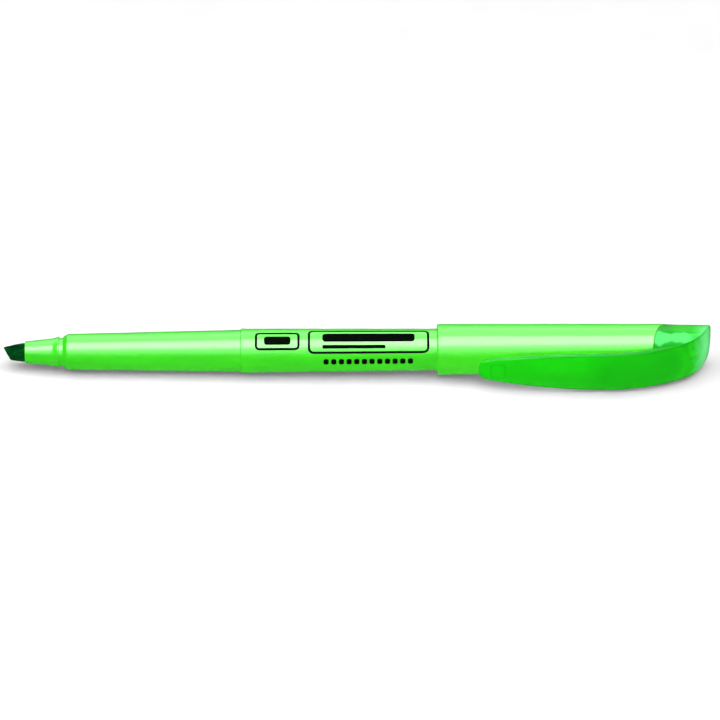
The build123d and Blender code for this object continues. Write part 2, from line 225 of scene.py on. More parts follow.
def lathe(name, outline, material, reshape=None, steps=TURN_STEPS):
    """A turned piece from its closed half outline of (station, radius, rounding radius)."""
    profile = np.array(rounded(outline))
    angle = np.linspace(0, 2 * pi, steps, endpoint=False)
    station = np.repeat(profile[:, :1], steps, axis=1)
    height, side = profile[:, 1:] * np.cos(angle), profile[:, 1:] * np.sin(angle)
    grid = np.stack([station, height, side], axis=-1)
    if reshape:
        grid = reshape(grid)
    faces = grid_faces(len(profile), steps, close_rows=True)
    return make_object(name, place(grid).reshape(-1, 3), faces, material)


def along(start, end, size):
    """Evenly spaced values from start to end, about size apart."""
    return np.linspace(start, end, max(2, ceil(abs(end - start) / size) + 1))


# -------------------- materials
def new_material(name):
    """A material with only a Principled shader, and its node tree."""
    material = bpy.data.materials.new(name)
    material.use_nodes = True
    return material, material.node_tree, material.node_tree.nodes["Principled BSDF"]


def noise(tree, scale, detail=4.0, roughness=0.5, stretch=(1, 1, 1), over=None):
    """Noise over the object's own coordinates, in features per metre, or over other coordinates."""
    if over is None:
        over = tree.nodes.new("ShaderNodeTexCoord").outputs["Object"]
    mapping = tree.nodes.new("ShaderNodeMapping")
    mapping.inputs["Scale"].default_value = stretch
    texture = tree.nodes.new("ShaderNodeTexNoise")
    texture.inputs["Scale"].default_value = scale
    texture.inputs["Detail"].default_value = detail
    texture.inputs["Roughness"].default_value = roughness
    tree.links.new(over, mapping.inputs["Vector"])
    tree.links.new(mapping.outputs["Vector"], texture.inputs["Vector"])
    return texture.outputs["Fac"]


def ramp(tree, value, *stops):
    """A colour ramp over a value, from (position, colour) stops."""
    node = tree.nodes.new("ShaderNodeValToRGB")
    elements = node.color_ramp.elements
    while len(elements) < len(stops):
        elements.new(0.5)
    for element, (position, colour) in zip(elements, stops):
        element.position = position
        element.color = (*colour, 1)
    tree.links.new(value, node.inputs["Fac"])
    return node.outputs["Color"]


def spread(tree, value, low, high):
    """A value from 0 to 1 spread over a range."""
    node = tree.nodes.new("ShaderNodeMapRange")
    node.inputs["To Min"].default_value = low
    node.inputs["To Max"].default_value = high
    tree.links.new(value, node.inputs["Value"])
    return node.outputs["Result"]


def bump(tree, shader, height, distance):
    """Bumps of a real height, in metres."""
    node = tree.nodes.new("ShaderNodeBump")
    node.inputs["Distance"].default_value = distance
    tree.links.new(height, node.inputs["Height"])
    tree.links.new(node.outputs["Normal"], shader.inputs["Normal"])


def shade(colour, factor):
    """A colour made darker or lighter."""
    return tuple(min(1.0, c * factor) for c in colour)


def moulded_plastic(name, colour, glow):
    """Glossy fluorescent plastic with faint flow marks and a very fine uneven gloss."""
    material, tree, shader = new_material(name)
    flow = noise(tree, 260, detail=3, stretch=(0.25, 1, 1))
    base = ramp(tree, flow, (0.3, shade(colour, 0.93)), (0.7, shade(colour, 1.06)))
    tree.links.new(base, shader.inputs["Base Color"])
    gloss = noise(tree, 900, detail=6)
    tree.links.new(spread(tree, gloss, 0.16, 0.24), shader.inputs["Roughness"])
    # painted glow: the emission stands in for the plastic's fluorescence and glows without a lamp
    shader.inputs["Emission Color"].default_value = (*glow, 1)
    shader.inputs["Emission Strength"].default_value = 1.0
    shader.inputs["Subsurface Weight"].default_value = 0.15
    shader.inputs["Subsurface Radius"].default_value = (0.4, 1.0, 0.3)
    shader.inputs["Subsurface Scale"].default_value = 0.0008
    bump(tree, shader, noise(tree, 1400, detail=5), 0.000004)
    return material


def calculate(tree, operation, first, second=0):
    """One sum on values, which are sockets or numbers."""
    node = tree.nodes.new("ShaderNodeMath")
    node.operation = operation
    for socket, value in zip(node.inputs, (first, second)):
        if isinstance(value, (int, float)):
            socket.default_value = value
        else:
            tree.links.new(value, socket)
    return node.outputs["Value"]


def times(tree, *values):
    """The product of values."""
    product = values[0]
    for value in values[1:]:
        product = calculate(tree, "MULTIPLY", product, value)
    return product


def minus(tree, first, second):
    """One value less another."""
    return calculate(tree, "SUBTRACT", first, second)


def rise(tree, value, low, high):
    """0 below low, 1 above high and smooth in between."""
    node = tree.nodes.new("ShaderNodeMapRange")
    node.interpolation_type = "SMOOTHSTEP"
    node.inputs["From Min"].default_value = low
    node.inputs["From Max"].default_value = high
    tree.links.new(value, node.inputs["Value"])
    return node.outputs["Result"]


def mixed(tree, factor, first, second):
    """A colour between two, which are sockets or colours."""
    node = tree.nodes.new("ShaderNodeMix")
    node.data_type = "RGBA"
    tree.links.new(factor, node.inputs["Factor"])
    for socket, value in ((node.inputs[6], first), (node.inputs[7], second)):
        if isinstance(value, tuple):
            socket.default_value = (*value, 1)
        else:
            tree.links.new(value, socket)
    return node.outputs[2]


def rest_place(tree):
    """The stored place of each point at rest: station, height and side, in millimetres."""
    node = tree.nodes.new("ShaderNodeAttribute")
    node.attribute_name = PLACE_ATTRIBUTE
    return node.outputs["Vector"]


# Pairs of numbers are the stations, heights or noise values over which a mask rises to 1.
CLOUD_DARK, CLOUD_LIGHT = (0.02, 0.66, 0.01), (0.032, 0.82, 0.014)
SLANT_FOOT, SLANT = 1.0, 0.7  # the solid end's front leans back above this height, this steeply
SOLID_FRONT, SOLID_STRENGTH = (145.6, 148.2), 0.42
# painted shade over the hollow of the cap's end, lighter where light reaches its upper side
HOLLOW_FRONT, HOLLOW_STRENGTH, HOLLOW_SHADE_GREEN = (137.0, 144.0), 0.85, (0.006, 0.28, 0.008)
LIT_SIDE = (4.6, 5.6)  # light reaches the hollow's upper side at these heights
# painted shade on the shoulder's outer face
FACE_FRONT, FACE_SIDE, FACE_END = (124.0, 142.0), (4.0, 6.5), (148.5, 152.5)
FACE_STRENGTH, FACE_SHADE_GREEN = 0.65, (0.006, 0.34, 0.006)
# painted light: bright lengthwise streaks in the solid end
STREAK_NOISE, STREAK_FRONT = (0.42, 0.6), (147.2, 148.6)
STREAK_STRENGTH, STREAK_LIGHT_GREEN = 0.5, (0.03, 0.8, 0.01)
# painted highlight on the end piece's side
PATCH_FRONT, PATCH_END = (141.0, 142.0), (150.0, 152.5)
PATCH_BOTTOM, PATCH_TOP = (0.6, 1.2), (2.8, 3.4)
PATCH_WAVES, PATCH_STRENGTH, PATCH_HIGHLIGHT_GREEN = 2.4, 0.75, (0.14, 0.9, 0.24)
# painted light at the very end of the cap, where light comes through the plastic
END_LIGHT_FRONT, END_LIGHT_SIDE = (150.8, PEN_LENGTH - 0.2), (-4.0, 1.5)
END_LIGHT_STRENGTH, END_LIGHT_GREEN = 0.9, (0.25, 1.0, 0.42)
# painted shade on the clip's edges, where it is seen through more plastic, and on its side wall
EDGE_STRENGTH, EDGE_SHADE_GREEN = 0.75, (0.004, 0.2, 0.004)
# painted shade along the pad's outline, seen through the blade
PAD_LINE, PAD_STRENGTH, PAD_SHADE_GREEN = (0.1, 0.75), 0.35, (0.004, 0.25, 0.004)
CLEAR_STATIONS, CLEARNESS = (131.0, 143.0), (0.62, 0.12)  # the blade is clearer than the end


def solid_end_station(tree, station, height):
    """A station taken along lines that lean back with height, as the solid end's front does."""
    above_foot = calculate(tree, "MAXIMUM", minus(tree, height, SLANT_FOOT), 0.0)
    return minus(tree, station, times(tree, above_foot, SLANT))


def hollow_shade_mask(tree, station, height, slanted):
    """Painted shade of the hollow of the cap's end, seen through its lower side, as far as the solid end."""
    solid = times(tree, rise(tree, slanted, *SOLID_FRONT), SOLID_STRENGTH)
    hollow = times(tree, rise(tree, station, *HOLLOW_FRONT), minus(tree, 1.0, solid))
    lit_side = times(tree, rise(tree, height, *LIT_SIDE), HOLLOW_STRENGTH)
    return times(tree, hollow, minus(tree, HOLLOW_STRENGTH, lit_side))


def shaded_face_mask(tree, station, height):
    """Painted shade on the shoulder's outer face, above the hollow."""
    face = times(tree, rise(tree, station, *FACE_FRONT), rise(tree, height, *FACE_SIDE))
    return times(tree, face, minus(tree, 1.0, rise(tree, station, *FACE_END)))


def light_streak_mask(tree, rest, slanted):
    """Lengthwise streaks of painted light in the solid end, where it gathers light."""
    streaks = noise(tree, 1.1, detail=2, stretch=(0.04, 1, 1), over=rest)
    return times(tree, rise(tree, streaks, *STREAK_NOISE), rise(tree, slanted, *STREAK_FRONT))


def bright_patch_mask(tree, rest, station, height):
    """Painted highlight: light that the end piece's side gathers, between two wavy lines."""
    waves = noise(tree, 0.33, detail=1, stretch=(1, 0.1, 0.1), over=rest)
    waves = times(tree, minus(tree, waves, 0.5), PATCH_WAVES)
    above_bottom = rise(tree, calculate(tree, "ADD", height, waves), *PATCH_BOTTOM)
    above_top = rise(tree, minus(tree, height, waves), *PATCH_TOP)
    outside = calculate(tree, "MAXIMUM", above_top, rise(tree, station, *PATCH_END))
    patch = times(tree, above_bottom, rise(tree, station, *PATCH_FRONT))
    return times(tree, patch, minus(tree, 1.0, outside))


def pad_outline_mask(tree, station, side):
    """Painted shade along the outline of the pad under the blade, a rounded square, as it shows through the
    blade.
    """
    lengthwise = minus(tree, station, (PAD_START + PAD_END) / 2)
    lengthwise = calculate(tree, "DIVIDE", lengthwise, (PAD_END - PAD_START) / 2)
    sideways = calculate(tree, "DIVIDE", side, PAD_WIDTH / 2)
    reach = []
    for value in (lengthwise, sideways):
        reach.append(calculate(tree, "POWER", calculate(tree, "ABSOLUTE", value), 4.0))
    past_outline = minus(tree, calculate(tree, "ADD", *reach), 1.0)
    from_outline = calculate(tree, "ABSOLUTE", past_outline)
    return minus(tree, 1.0, rise(tree, from_outline, *PAD_LINE))


def clear_green_plastic():
    """Tinted see-through plastic with soft clouds and fine flow lines from moulding.

    It has painted shade over the hollow of the cap's end and on the shoulder's face, painted light
    streaks in the solid end behind it, a painted highlight on the end piece's side, and painted light
    at the very end, where it is lighter. Its edges and side wall have painted shade, where it is seen
    through more plastic, and the pad under the blade shows through it faintly as painted shade.
    """
    material, tree, shader = new_material("tinted_clear_plastic")
    rest = rest_place(tree)
    parts = tree.nodes.new("ShaderNodeSeparateXYZ")
    tree.links.new(rest, parts.inputs["Vector"])
    station, height, side = parts.outputs
    slanted = solid_end_station(tree, station, height)
    # painted light at the very end
    end_light = times(tree, rise(tree, station, *END_LIGHT_FRONT), rise(tree, height, *END_LIGHT_SIDE))
    edge = tree.nodes.new("ShaderNodeAttribute")
    edge.attribute_name = EDGE_ATTRIBUTE

    clouds = noise(tree, 0.15, detail=3, stretch=(0.35, 1, 1), over=rest)
    base = ramp(tree, clouds, (0.3, CLOUD_DARK), (0.7, CLOUD_LIGHT))
    # painted shade and painted light, layered over the clouds
    base = mixed(tree, hollow_shade_mask(tree, station, height, slanted), base, HOLLOW_SHADE_GREEN)
    layers = [
        (shaded_face_mask(tree, station, height), FACE_STRENGTH, FACE_SHADE_GREEN),
        (light_streak_mask(tree, rest, slanted), STREAK_STRENGTH, STREAK_LIGHT_GREEN),
        (bright_patch_mask(tree, rest, station, height), PATCH_STRENGTH, PATCH_HIGHLIGHT_GREEN),
        (end_light, END_LIGHT_STRENGTH, END_LIGHT_GREEN),
        (edge.outputs["Fac"], EDGE_STRENGTH, EDGE_SHADE_GREEN),
        (pad_outline_mask(tree, station, side), PAD_STRENGTH, PAD_SHADE_GREEN),
    ]
    for mask, strength, colour in layers:
        base = mixed(tree, times(tree, mask, strength), base, colour)
    tree.links.new(base, shader.inputs["Base Color"])

    gloss = noise(tree, 0.7, detail=5, over=rest)
    tree.links.new(spread(tree, gloss, 0.12, 0.22), shader.inputs["Roughness"])
    clearness = spread(tree, rise(tree, station, *CLEAR_STATIONS), *CLEARNESS)
    tree.links.new(clearness, shader.inputs["Transmission Weight"])
    shader.inputs["IOR"].default_value = 1.49
    shader.inputs["Specular IOR Level"].default_value = 0.12
    shader.inputs["Specular Tint"].default_value = (0.1, 0.45, 0.17, 1)
    # painted glow: the emission stands in for the plastic's fluorescence and glows without a lamp
    shader.inputs["Emission Color"].default_value = (0, 0.1, 0, 1)
    shader.inputs["Emission Strength"].default_value = 1.0
    flow = noise(tree, 0.42, detail=4, stretch=(0.15, 1, 1), over=rest)
    bump(tree, shader, flow, 0.00001)
    return material


def felt(name, dark, light):
    """Bonded fibres, drawn lengthwise and soaked with ink."""
    material, tree, shader = new_material(name)
    fibres = noise(tree, 1300, detail=8, roughness=0.65, stretch=(0.22, 1, 1))
    base = ramp(tree, fibres, (0.36, dark), (0.66, light))
    tree.links.new(base, shader.inputs["Base Color"])
    tree.links.new(spread(tree, fibres, 0.75, 0.95), shader.inputs["Roughness"])
    shader.inputs["Specular IOR Level"].default_value = 0.0
    bump(tree, shader, fibres, 0.00008)
    return material


def ink(name):
    """Black printed ink, slightly uneven."""
    material, tree, shader = new_material(name)
    grain = noise(tree, 4000, detail=3)
    base = ramp(tree, grain, (0.35, (0.001, 0.002, 0.001)), (0.75, (0.005, 0.008, 0.005)))
    tree.links.new(base, shader.inputs["Base Color"])
    tree.links.new(spread(tree, grain, 0.45, 0.65), shader.inputs["Roughness"])
    shader.inputs["Specular IOR Level"].default_value = 0.0
    bump(tree, shader, grain, 0.000003)
    return material


def satin_plastic(name, colour):
    """Soft, slightly waxy plastic."""
    material, tree, shader = new_material(name)
    flow = noise(tree, 500, detail=4, stretch=(0.3, 1, 1))
    base = ramp(tree, flow, (0.3, shade(colour, 0.92)), (0.7, colour))
    tree.links.new(base, shader.inputs["Base Color"])
    tree.links.new(spread(tree, flow, 0.35, 0.5), shader.inputs["Roughness"])
    bump(tree, shader, noise(tree, 2500, detail=4), 0.000006)
    return material


BARREL_GREEN = (0.045, 0.66, 0.006)
CAP_GREEN = (0.056, 0.7, 0.008)
barrel_plastic = moulded_plastic("barrel_plastic", BARREL_GREEN, (0.0, 0.11, 0.0))
cap_plastic = moulded_plastic("cap_plastic", CAP_GREEN, (0.0, 0.12, 0.0))
clip_plastic = clear_green_plastic()
nib_felt = felt("nib_felt", (0.0004, 0.009, 0.003), (0.003, 0.1, 0.014))
print_ink = ink("print_ink")
liner_plastic = satin_plastic("liner_plastic", (0.72, 0.86, 0.7))

# -------------------- nib holder and barrel
holder = lathe(
    "nib_holder_turned",
    [
        (HOLDER_MOUTH, NIB_RADIUS + PRESS_GAP, 0.06),
        (HOLDER_MOUTH, HOLDER_MOUTH_RADIUS, 0.12),
        (FLARE_START, HOLDER_RADIUS, 3.0),
        (RIM_START, RIM_RADIUS, 0.15),
        (RIM_END, RIM_RADIUS, 0.08),
        (RIM_END + 0.08, NECK_RADIUS, 0.08),
        (BARREL_MOUTH, NECK_RADIUS),
        (BARREL_MOUTH, PLUG_RADIUS),
        (HOLDER_END, PLUG_RADIUS, 0.3),
        (HOLDER_END, NIB_RADIUS + PRESS_GAP),
    ],
    barrel_plastic,
)
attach(holder, "barrel")
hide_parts("nib_holder")

COLLAR_STEP, BEAD_SLOPE = 0.1, 0.12  # how long the slopes before and behind the collar are
barrel = lathe(
    "barrel_turned",
    [
        (BARREL_MOUTH, PLUG_RADIUS + PRESS_GAP),
        (BARREL_MOUTH, MOUTH_RADIUS, 0.12),
        (SHOULDER_END, SHOULDER_RADIUS, 0.3),
        (COLLAR - COLLAR_STEP, FRONT_RADIUS, 0.05),
        (COLLAR, COLLAR_RADIUS, 0.12),
        (BEAD_END, COLLAR_RADIUS, 0.05),
        (BEAD_END + BEAD_SLOPE, COLLAR_RADIUS - BEAD_STEP, 0.1),
        (BARREL_END, TAIL_RADIUS, 0.08),
        (BARREL_END, BORE_REAR),
        (PLUG_SEAT, BORE_REAR),
        (SEAT_END, BORE_FRONT),
        (SEAT_END, PLUG_RADIUS + PRESS_GAP),
    ],
    barrel_plastic,
)
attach(barrel, "barrel")
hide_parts("barrel")


# -------------------- cap tube and liner
def seam_station(height):
    """Where the cap's tube ends, at a height on the clip's side of the axis."""
    below = np.clip(CAP_RADIUS - height, 0, None)
    return CAP_SEAM + SEAM_BOW - np.sqrt(SEAM_BOW**2 - below**2)


SEAM_FADE, TUBE_END = 136.0, 150.0  # the tube's rings between these bend towards the seam


def end_at_seam(grid):
    """The tube's rear rings, moved onto the seam."""
    station, height = grid[..., 0], grid[..., 1]
    share = np.clip((station - SEAM_FADE) / (TUBE_END - SEAM_FADE), 0, 1)
    moved = SEAM_FADE + share * (seam_station(height) - SEAM_FADE)
    grid[..., 0] = np.where(share > 0, moved, station)
    return grid


cap_taper = CAP_REAR_RADIUS - CAP_RADIUS
fade_taper = cap_taper * (SEAM_FADE - CAP_BAND_END) / (PEN_LENGTH - CAP_BAND_END)
GRIP_START, GRIP_END, GRIP_FOOT = 0.6, 1.5, 1.9  # the ring that grips the barrel, from the mouth
cap_tube = lathe(
    "cap_tube_turned",
    [
        (CAP_MOUTH, CAP_BORE + 0.2, 0.1),
        (CAP_MOUTH, CAP_RADIUS, 0.45),
        (CAP_BAND_END, CAP_RADIUS, 4.0),
        (SEAM_FADE, CAP_RADIUS + fade_taper),
        (TUBE_END, CAP_REAR_RADIUS + 0.04, 0.2),
        (TUBE_END, CAP_BORE, 0.05),
        (SEAM_FADE, CAP_BORE),
        (CAP_MOUTH + GRIP_FOOT, CAP_BORE, 0.2),
        (CAP_MOUTH + GRIP_END, CAP_GRIP_RADIUS, 0.1),
        (CAP_MOUTH + GRIP_START, CAP_GRIP_RADIUS, 0.1),
    ],
    cap_plastic,
    reshape=end_at_seam,
)
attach(cap_tube, "cap")
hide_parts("cap_tube")

LINER_TAPER = LINER_BORE - LINER_FLOOR_RADIUS
LINER_END = LINER_FLOOR + 0.55
liner = lathe(
    "cap_liner_turned",
    [
        (LINER_MOUTH, LINER_BORE, 0.2),
        (LINER_MOUTH, LINER_RADIUS, 0.2),
        (LINER_FLOOR - LINER_TAPER, LINER_RADIUS, 0.4),
        (LINER_END, LINER_RADIUS - LINER_TAPER, 0.3),
        (LINER_END, AXIS_RADIUS),
        (LINER_FLOOR, AXIS_RADIUS),
        (LINER_FLOOR, LINER_FLOOR_RADIUS, 0.3),
        (LINER_FLOOR - LINER_TAPER, LINER_BORE, 0.4),
    ],
    liner_plastic,
)
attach(liner, "cap_liner")
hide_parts("cap_liner")

# -------------------- clip and cap end, one moulding
SHOULDER_END_STATION = CLIP_CREST + SHOULDER_BOW * sin(SHOULDER_TURN)
END_CENTRE = (
    CLIP_CREST + (SHOULDER_BOW - END_BOW) * sin(SHOULDER_TURN),
    CLIP_HEIGHT - SHOULDER_BOW + (SHOULDER_BOW - END_BOW) * cos(SHOULDER_TURN),
)
EDGE = 0.3  # rounding of the clip's edges
CROWN, CROWN_LIFT = 0.75, 0.66  # the outer face's dome, and its share above the clip's curve
BODY_START = CAP_SEAM + PRESS_GAP
BODY_PLANAR = 149.2  # rings behind here are flat, those in front bend towards the seam
RIM_ROUNDING = 0.22  # of the end piece's edge beside the tube
RIM_FADE = 6.0  # the rim's rounding fades out below this height, where the clip begins
PLATE_THIN, PLATE_THIN_FROM = 0.36, 147.5  # the side wall's least depth, and where it is reached
# points of each part of a ring
TOP_POINTS, CORNER_POINTS, SIDE_POINTS, WEB_POINTS, BASE_POINTS = 25, 6, 5, 10, 96
# rings of the tip's edge, of the rounded rim and of the end's curve
TIP_RINGS, RIM_RINGS, END_RINGS = 8, 5, 60
TIP_START_TURN, END_LAST_TURN = 0.12, radians(89.2)
TIP_STEP, BLADE_STEP, BODY_STEP = 0.15, 0.6, 0.3  # between rings elsewhere
END_MARGIN = 0.004  # the last ring lies this far inside the pen's length


def clip_curve(station, inset=0.0):
    """Height and slope angle of the clip's outer face at a station."""
    if station <= CLIP_CREST:
        angle = -asin((CLIP_CREST - station) / (BLADE_BOW - inset))
        return CLIP_HEIGHT - BLADE_BOW + (BLADE_BOW - inset) * cos(angle), angle
    if station <= SHOULDER_END_STATION:
        angle = asin(min(1, (station - CLIP_CREST) / (SHOULDER_BOW - inset)))
        return CLIP_HEIGHT - SHOULDER_BOW + (SHOULDER_BOW - inset) * cos(angle), angle
    angle = asin(min(1, (station - END_CENTRE[0]) / (END_BOW - inset)))
    return END_CENTRE[1] + (END_BOW - inset) * cos(angle), angle


def leaf_half_width(station):
    """Half the clip's width at a station."""
    if station >= CLIP_CREST:
        return CLIP_HALF_WIDTH
    bow = CLIP_HALF_WIDTH - LEAF_BOW + sqrt(LEAF_BOW**2 - (CLIP_CREST - station) ** 2)
    past_tip = station - CLIP_TIP
    if past_tip >= TIP_CORNER:
        return bow
    return bow - TIP_CORNER + sqrt(TIP_CORNER**2 - (TIP_CORNER - past_tip) ** 2)


def dome(side):
    """How far the domed outer face stands from the clip's curve."""
    return CROWN * (CROWN_LIFT - (side / CLIP_HALF_WIDTH) ** 2)


def ellipse_corner(side, height, across, down, turn):
    """Points round a corner, from the outer face to the side. turn is 1 or -1 for the side."""
    angles = np.linspace(0, pi / 2, CORNER_POINTS)
    return [(height - down * (1 - cos(a)), turn * (side - across * (1 - sin(a)))) for a in angles]


def blade_ring(station):
    """Section of the clip's free blade, as (height, side) points."""
    width = leaf_half_width(station)
    half = CLIP_THICKNESS / 2
    past_tip = min(1.0, (station - CLIP_TIP) / half)
    half *= sqrt(1 - (1 - past_tip) ** 2)
    edge = min(EDGE, 0.7 * half)  # smaller where the blade thins out to its tip
    low, high = -CLIP_THICKNESS / 2 - half, -CLIP_THICKNESS / 2 + half
    right = ellipse_corner(width, high, edge, edge, 1)
    right += [(h, width) for h in np.linspace(high - edge, low + edge, SIDE_POINTS)[1:-1]]
    under = ellipse_corner(width, -low, edge, edge, 1)[::-1]
    right += [(-h, w) for h, w in under]
    left = [(h, -w) for h, w in right[::-1]]
    base_points = BASE_POINTS - 2 * (SIDE_POINTS - 2 + CORNER_POINTS)
    top = [(high, w) for w in np.linspace(edge - width, width - edge, TOP_POINTS)[1:-1]]
    base = [(low, w) for w in np.linspace(width - edge, edge - width, base_points)[1:-1]]
    ring = np.array(top + right + base + left)
    height, angle = clip_curve(station)
    lift = ring[:, 0] + dome(ring[:, 1])
    return np.stack([station + lift * sin(angle), height + lift * cos(angle), ring[:, 1]], axis=-1)


def end_radius(station):
    """Outside of the cap's end piece."""
    share = (station - CAP_SEAM) / (PEN_LENGTH - CAP_SEAM)
    return END_FRONT_RADIUS + share * (END_RADIUS - END_FRONT_RADIUS)


def body_half_width(height, radius):
    """Half the width of the end piece at a height: round, with straight sides up to the clip."""
    round_part = sqrt(max(0.0, radius**2 - height**2))
    return max(CLIP_HALF_WIDTH, round_part) if height > 0 else round_part


def plate_wall(station):
    """Depth of the clip's side wall, which thins out over the end piece."""
    share = np.clip((station - CAP_SEAM) / (PLATE_THIN_FROM - CAP_SEAM), 0, 1)
    return CLIP_THICKNESS + (PLATE_THIN - CLIP_THICKNESS) * share * share * (3 - 2 * share)


def body_ring(station, inset=0.0):
    """Section of the cap's end piece, with as many points as a blade_ring.

    An inset draws in the round part, for the rounded rim beside the tube.
    """
    radius = end_radius(station)
    height, angle = clip_curve(station)
    fade = min(1.0, max(0.0, (height + radius) / radius))
    edge_dome = dome(CLIP_HALF_WIDTH) * fade
    edge_height = height + edge_dome * cos(angle)
    down = min(EDGE / max(cos(angle), 0.05), 0.9 * (edge_height + radius))
    across = min(EDGE, 0.9 * body_half_width(edge_height, radius))
    corner = []
    for a in np.linspace(0, pi / 2, CORNER_POINTS):
        h = edge_height - down * (1 - cos(a))
        corner.append((h, body_half_width(h, radius) - across * (1 - sin(a))))
    top_width = corner[0][1]
    top_sides = np.linspace(-top_width, top_width, TOP_POINTS)[1:-1]
    top = [(height + fade * dome(w) * cos(angle), w) for w in top_sides]
    # the plate's wall, the web behind it, and the round body
    foot = edge_height - max(down, plate_wall(station))
    foot_width = body_half_width(foot, radius)
    wall_heights = np.linspace(corner[-1][0], foot, SIDE_POINTS)[1:-1]
    wall = [(h, body_half_width(h, radius)) for h in wall_heights]
    turn = atan2(foot_width, foot)
    join = radius * np.array([cos(turn), sin(turn)])
    foot_point = np.array([foot, foot_width])
    web = [foot_point + (join - foot_point) * t for t in np.linspace(0, 1, WEB_POINTS)]
    round_points = BASE_POINTS - 2 - 2 * (SIDE_POINTS - 2 + WEB_POINTS)
    arc = np.linspace(turn, 2 * pi - turn, round_points + 2)[1:-1]
    right = [*wall, *web]
    path = right + [(radius * cos(a), radius * sin(a)) for a in arc]
    path += [(h, -w) for h, w in right[::-1]]
    ring = np.array(top + corner + path + [(h, -w) for h, w in corner[::-1]])
    count = len(top)
    station_row = np.full(len(ring), station)
    if station < BODY_PLANAR:
        share = (station - BODY_START) / (BODY_PLANAR - BODY_START)
        front = seam_station(ring[:, 0]) + PRESS_GAP
        station_row = front + share * (BODY_PLANAR - front)
    push = np.zeros(len(ring))
    push[:count] = fade * dome(ring[:count, 1])
    for k in range(CORNER_POINTS):
        push[count + k] = push[-1 - k] = edge_dome * cos(k / (CORNER_POINTS - 1) * pi / 2)
    drawn_in = 1 - inset / radius * np.clip((RIM_FADE - ring[:, 0]) / 2, 0, 1)
    along_pen = station_row + push * sin(angle)
    return np.stack([along_pen, ring[:, 0] * drawn_in, ring[:, 1] * drawn_in], axis=-1)


def clip_and_end():
    """The closed outer surface of the clip and the cap's end piece."""
    half_thick = CLIP_THICKNESS / 2
    tip_turns = np.linspace(TIP_START_TURN, pi / 2, TIP_RINGS)
    tip = CLIP_TIP + half_thick * (1 - np.cos(tip_turns))
    corner = along(CLIP_TIP + half_thick, CLIP_TIP + TIP_CORNER + 0.3, TIP_STEP)[1:]
    blade = along(corner[-1], BODY_START - 0.1, BLADE_STEP)[1:]
    body = along(BODY_START + 1.5 * RIM_ROUNDING, SHOULDER_END_STATION, BODY_STEP)
    end_turns = np.linspace(SHOULDER_TURN, END_LAST_TURN, END_RINGS)[1:]
    end = END_CENTRE[0] + END_BOW * np.sin(end_turns)
    end = end[end < PEN_LENGTH - END_MARGIN]
    rings = [blade_ring(s) for s in [*tip, *corner, *blade]]
    for turn in np.linspace(0, pi / 2, RIM_RINGS):
        rim = BODY_START + RIM_ROUNDING * (1 - cos(turn))
        rings.append(body_ring(rim, inset=RIM_ROUNDING * (1 - sin(turn))))
    rings += [body_ring(s) for s in [*body, *end]]
    faces = capped_faces(len(rings), len(rings[0]))
    vertices = place(np.array(rings)).reshape(-1, 3)
    return make_object("clip_and_cap_end", vertices, faces, clip_plastic)


BLOCK_BEVEL = 0.12


def rounded_block(stations, heights, half_width, corner):
    """A closed block with rounded upright edges and a bevelled foot, under the clip."""
    (start, end), (low, high) = stations, heights
    outline = rounded(
        [
            (start, -half_width, corner),
            (end, -half_width, corner),
            (end, half_width, corner),
            (start, half_width, corner),
        ]
    )
    rows = [(low, BLOCK_BEVEL), (low + BLOCK_BEVEL, 0.0), (high, 0.0)]
    middle = np.array([(start + end) / 2, 0])
    grid = []
    for height, inset in rows:
        scale = 1 - inset / half_width
        grid.append([(*(middle + (q - middle) * scale), height) for q in outline])
    grid = np.array(grid)[..., [0, 2, 1]]
    faces = capped_faces(len(rows), len(outline))
    return make_object("block", place(grid).reshape(-1, 3), faces)


HOLLOW_RADIUS, HOLLOW_START, HOLLOW_END = 4.15, CAP_SEAM - 1.5, 149.4
HOLLOW_POINTS, HOLLOW_STEP = 96, 0.4


def hollow_cutter():
    """The space inside the end piece: a round bore that stays a wall's thickness below the clip."""
    grid = []
    for station in along(HOLLOW_START, HOLLOW_END, HOLLOW_STEP):
        roof = clip_curve(station, WALL)[0]
        ring = []
        for a in np.linspace(0, 2 * pi, HOLLOW_POINTS, endpoint=False):
            ring.append((station, min(HOLLOW_RADIUS * cos(a), roof), HOLLOW_RADIUS * sin(a)))
        grid.append(ring)
    faces = capped_faces(len(grid), HOLLOW_POINTS)
    return make_object("hollow", place(grid).reshape(-1, 3), faces)


NUB_STATION, NUB_DIRECTION = 147.6, radians(-130)
NUB_RADIUS, NUB_HEIGHT, NUB_ROOT = 0.5, 0.2, -0.6  # the root reaches into the end piece
NUB_POINTS = 32


def nub():
    """The small moulding nub, low on the far side of the end piece."""
    outline = [
        (NUB_ROOT, AXIS_RADIUS),
        (NUB_ROOT, NUB_RADIUS),
        (NUB_HEIGHT, NUB_RADIUS, 0.12),
        (NUB_HEIGHT, AXIS_RADIUS),
    ]
    spin = np.linspace(0, 2 * pi, NUB_POINTS, endpoint=False)
    foot = end_radius(NUB_STATION)
    lengthwise = np.array([1, 0, 0])
    outward = np.array([0, cos(NUB_DIRECTION), sin(NUB_DIRECTION)])
    beside = np.array([0, -sin(NUB_DIRECTION), cos(NUB_DIRECTION)])
    grid = []
    for lift, radius in rounded(outline):
        centre = NUB_STATION * lengthwise + outward * (foot + lift)
        grid.append([centre + radius * (cos(a) * lengthwise + sin(a) * beside) for a in spin])
    faces = grid_faces(len(grid), NUB_POINTS, close_rows=True)
    return make_object("nub", place(grid).reshape(-1, 3), faces)


def evaluated_mesh(obj):
    """A new mesh of an object with its modifiers applied."""
    bpy.context.view_layer.update()
    evaluated = obj.evaluated_get(bpy.context.evaluated_depsgraph_get())
    return bpy.data.meshes.new_from_object(evaluated)


